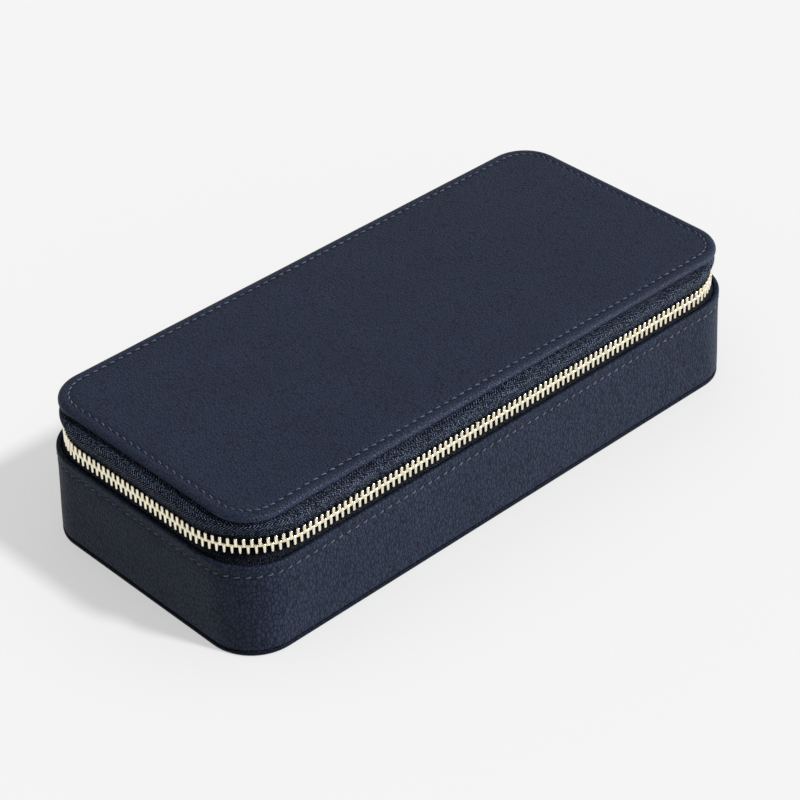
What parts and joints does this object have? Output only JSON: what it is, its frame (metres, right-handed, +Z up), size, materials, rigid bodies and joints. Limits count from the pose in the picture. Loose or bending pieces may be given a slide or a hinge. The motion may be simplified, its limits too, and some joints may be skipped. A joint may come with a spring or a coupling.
{
  "type": "zipped jewellery case",
  "caption": "Slim leather-wrapped box with a hinged lid and a zip round three sides, holding ring rolls, compartments and necklace hooks.",
  "frame": {"origin": "centre of the base's underside, which the case stands on", "axes": "+X along the case towards the end where the zip slider is, +Y to the back where the leather hinge is, +Z up"},
  "size_m": [0.2445, 0.1094, 0.055],
  "materials": {
    "leather": "navy, pebbled, semi-matt, stitched in blue-grey thread",
    "zip_tape": "navy woven polyester",
    "zip_metal": "polished pale gold plate",
    "board": "grey board, out of sight",
    "lining": "soft grey velvet"
  },
  "bodies": {
    "case": {"base_panel": "leather", "base_board": "board", "wall_leather": "leather", "wall_core": "board", "wall_lining": "lining", "floor_pad": "lining", "hinge_strip": "leather", "lower_zip_tape": "zip_tape", "lower_teeth": "zip_metal", "lower_teeth_right": "zip_metal", "zip_bottom_stop": "zip_metal", "zip_top_stop_lower": "zip_metal", "ring_roll_1": "lining", "ring_roll_2": "lining", "ring_roll_3": "lining", "ring_roll_4": "lining", "ring_roll_5": "lining", "ring_roll_6": "lining", "divider_ring_bay": "lining", "divider_lengthwise": "lining", "divider_cross_front": "lining", "divider_cross_rear": "lining"},
    "lid": {"upper_zip_tape": "zip_tape", "upper_teeth": "zip_metal", "upper_teeth_right": "zip_metal", "zip_top_stop_upper": "zip_metal", "lid_leather": "leather", "lid_board": "board", "lid_rim_core": "board", "lid_pad": "lining", "hook_strip": "leather", "necklace_hook_1": "zip_metal", "necklace_hook_2": "zip_metal", "necklace_hook_3": "zip_metal", "necklace_hook_4": "zip_metal", "necklace_hook_5": "zip_metal", "lid_pocket": "lining", "lid_pocket_band": "zip_tape"},
    "zip_slider": {"zip_slider": "zip_metal"},
    "zip_pull": {"zip_pull": "zip_metal"}
  },
  "joints": [
    {"name": "lid_hinge", "type": "hinge", "parent": "case", "child": "lid", "pos_m": [0, 0.0534, 0.0423], "axis": [-1, 0, 0], "range_deg": [0, 105], "deforming": ["hinge_strip"]},
    {"name": "zip_slide", "type": "slide", "parent": "case", "child": "zip_slider", "axis": [0, -1, 0], "range_m": [0, 0.045], "deforming": ["lower_teeth_right", "upper_teeth_right"]},
    {"name": "pull_swing", "type": "hinge", "parent": "zip_slider", "child": "zip_pull", "pos_m": [0.123, 0.022, 0.0423], "axis": [0, -1, 0], "range_deg": [0, 170]}
  ]
}
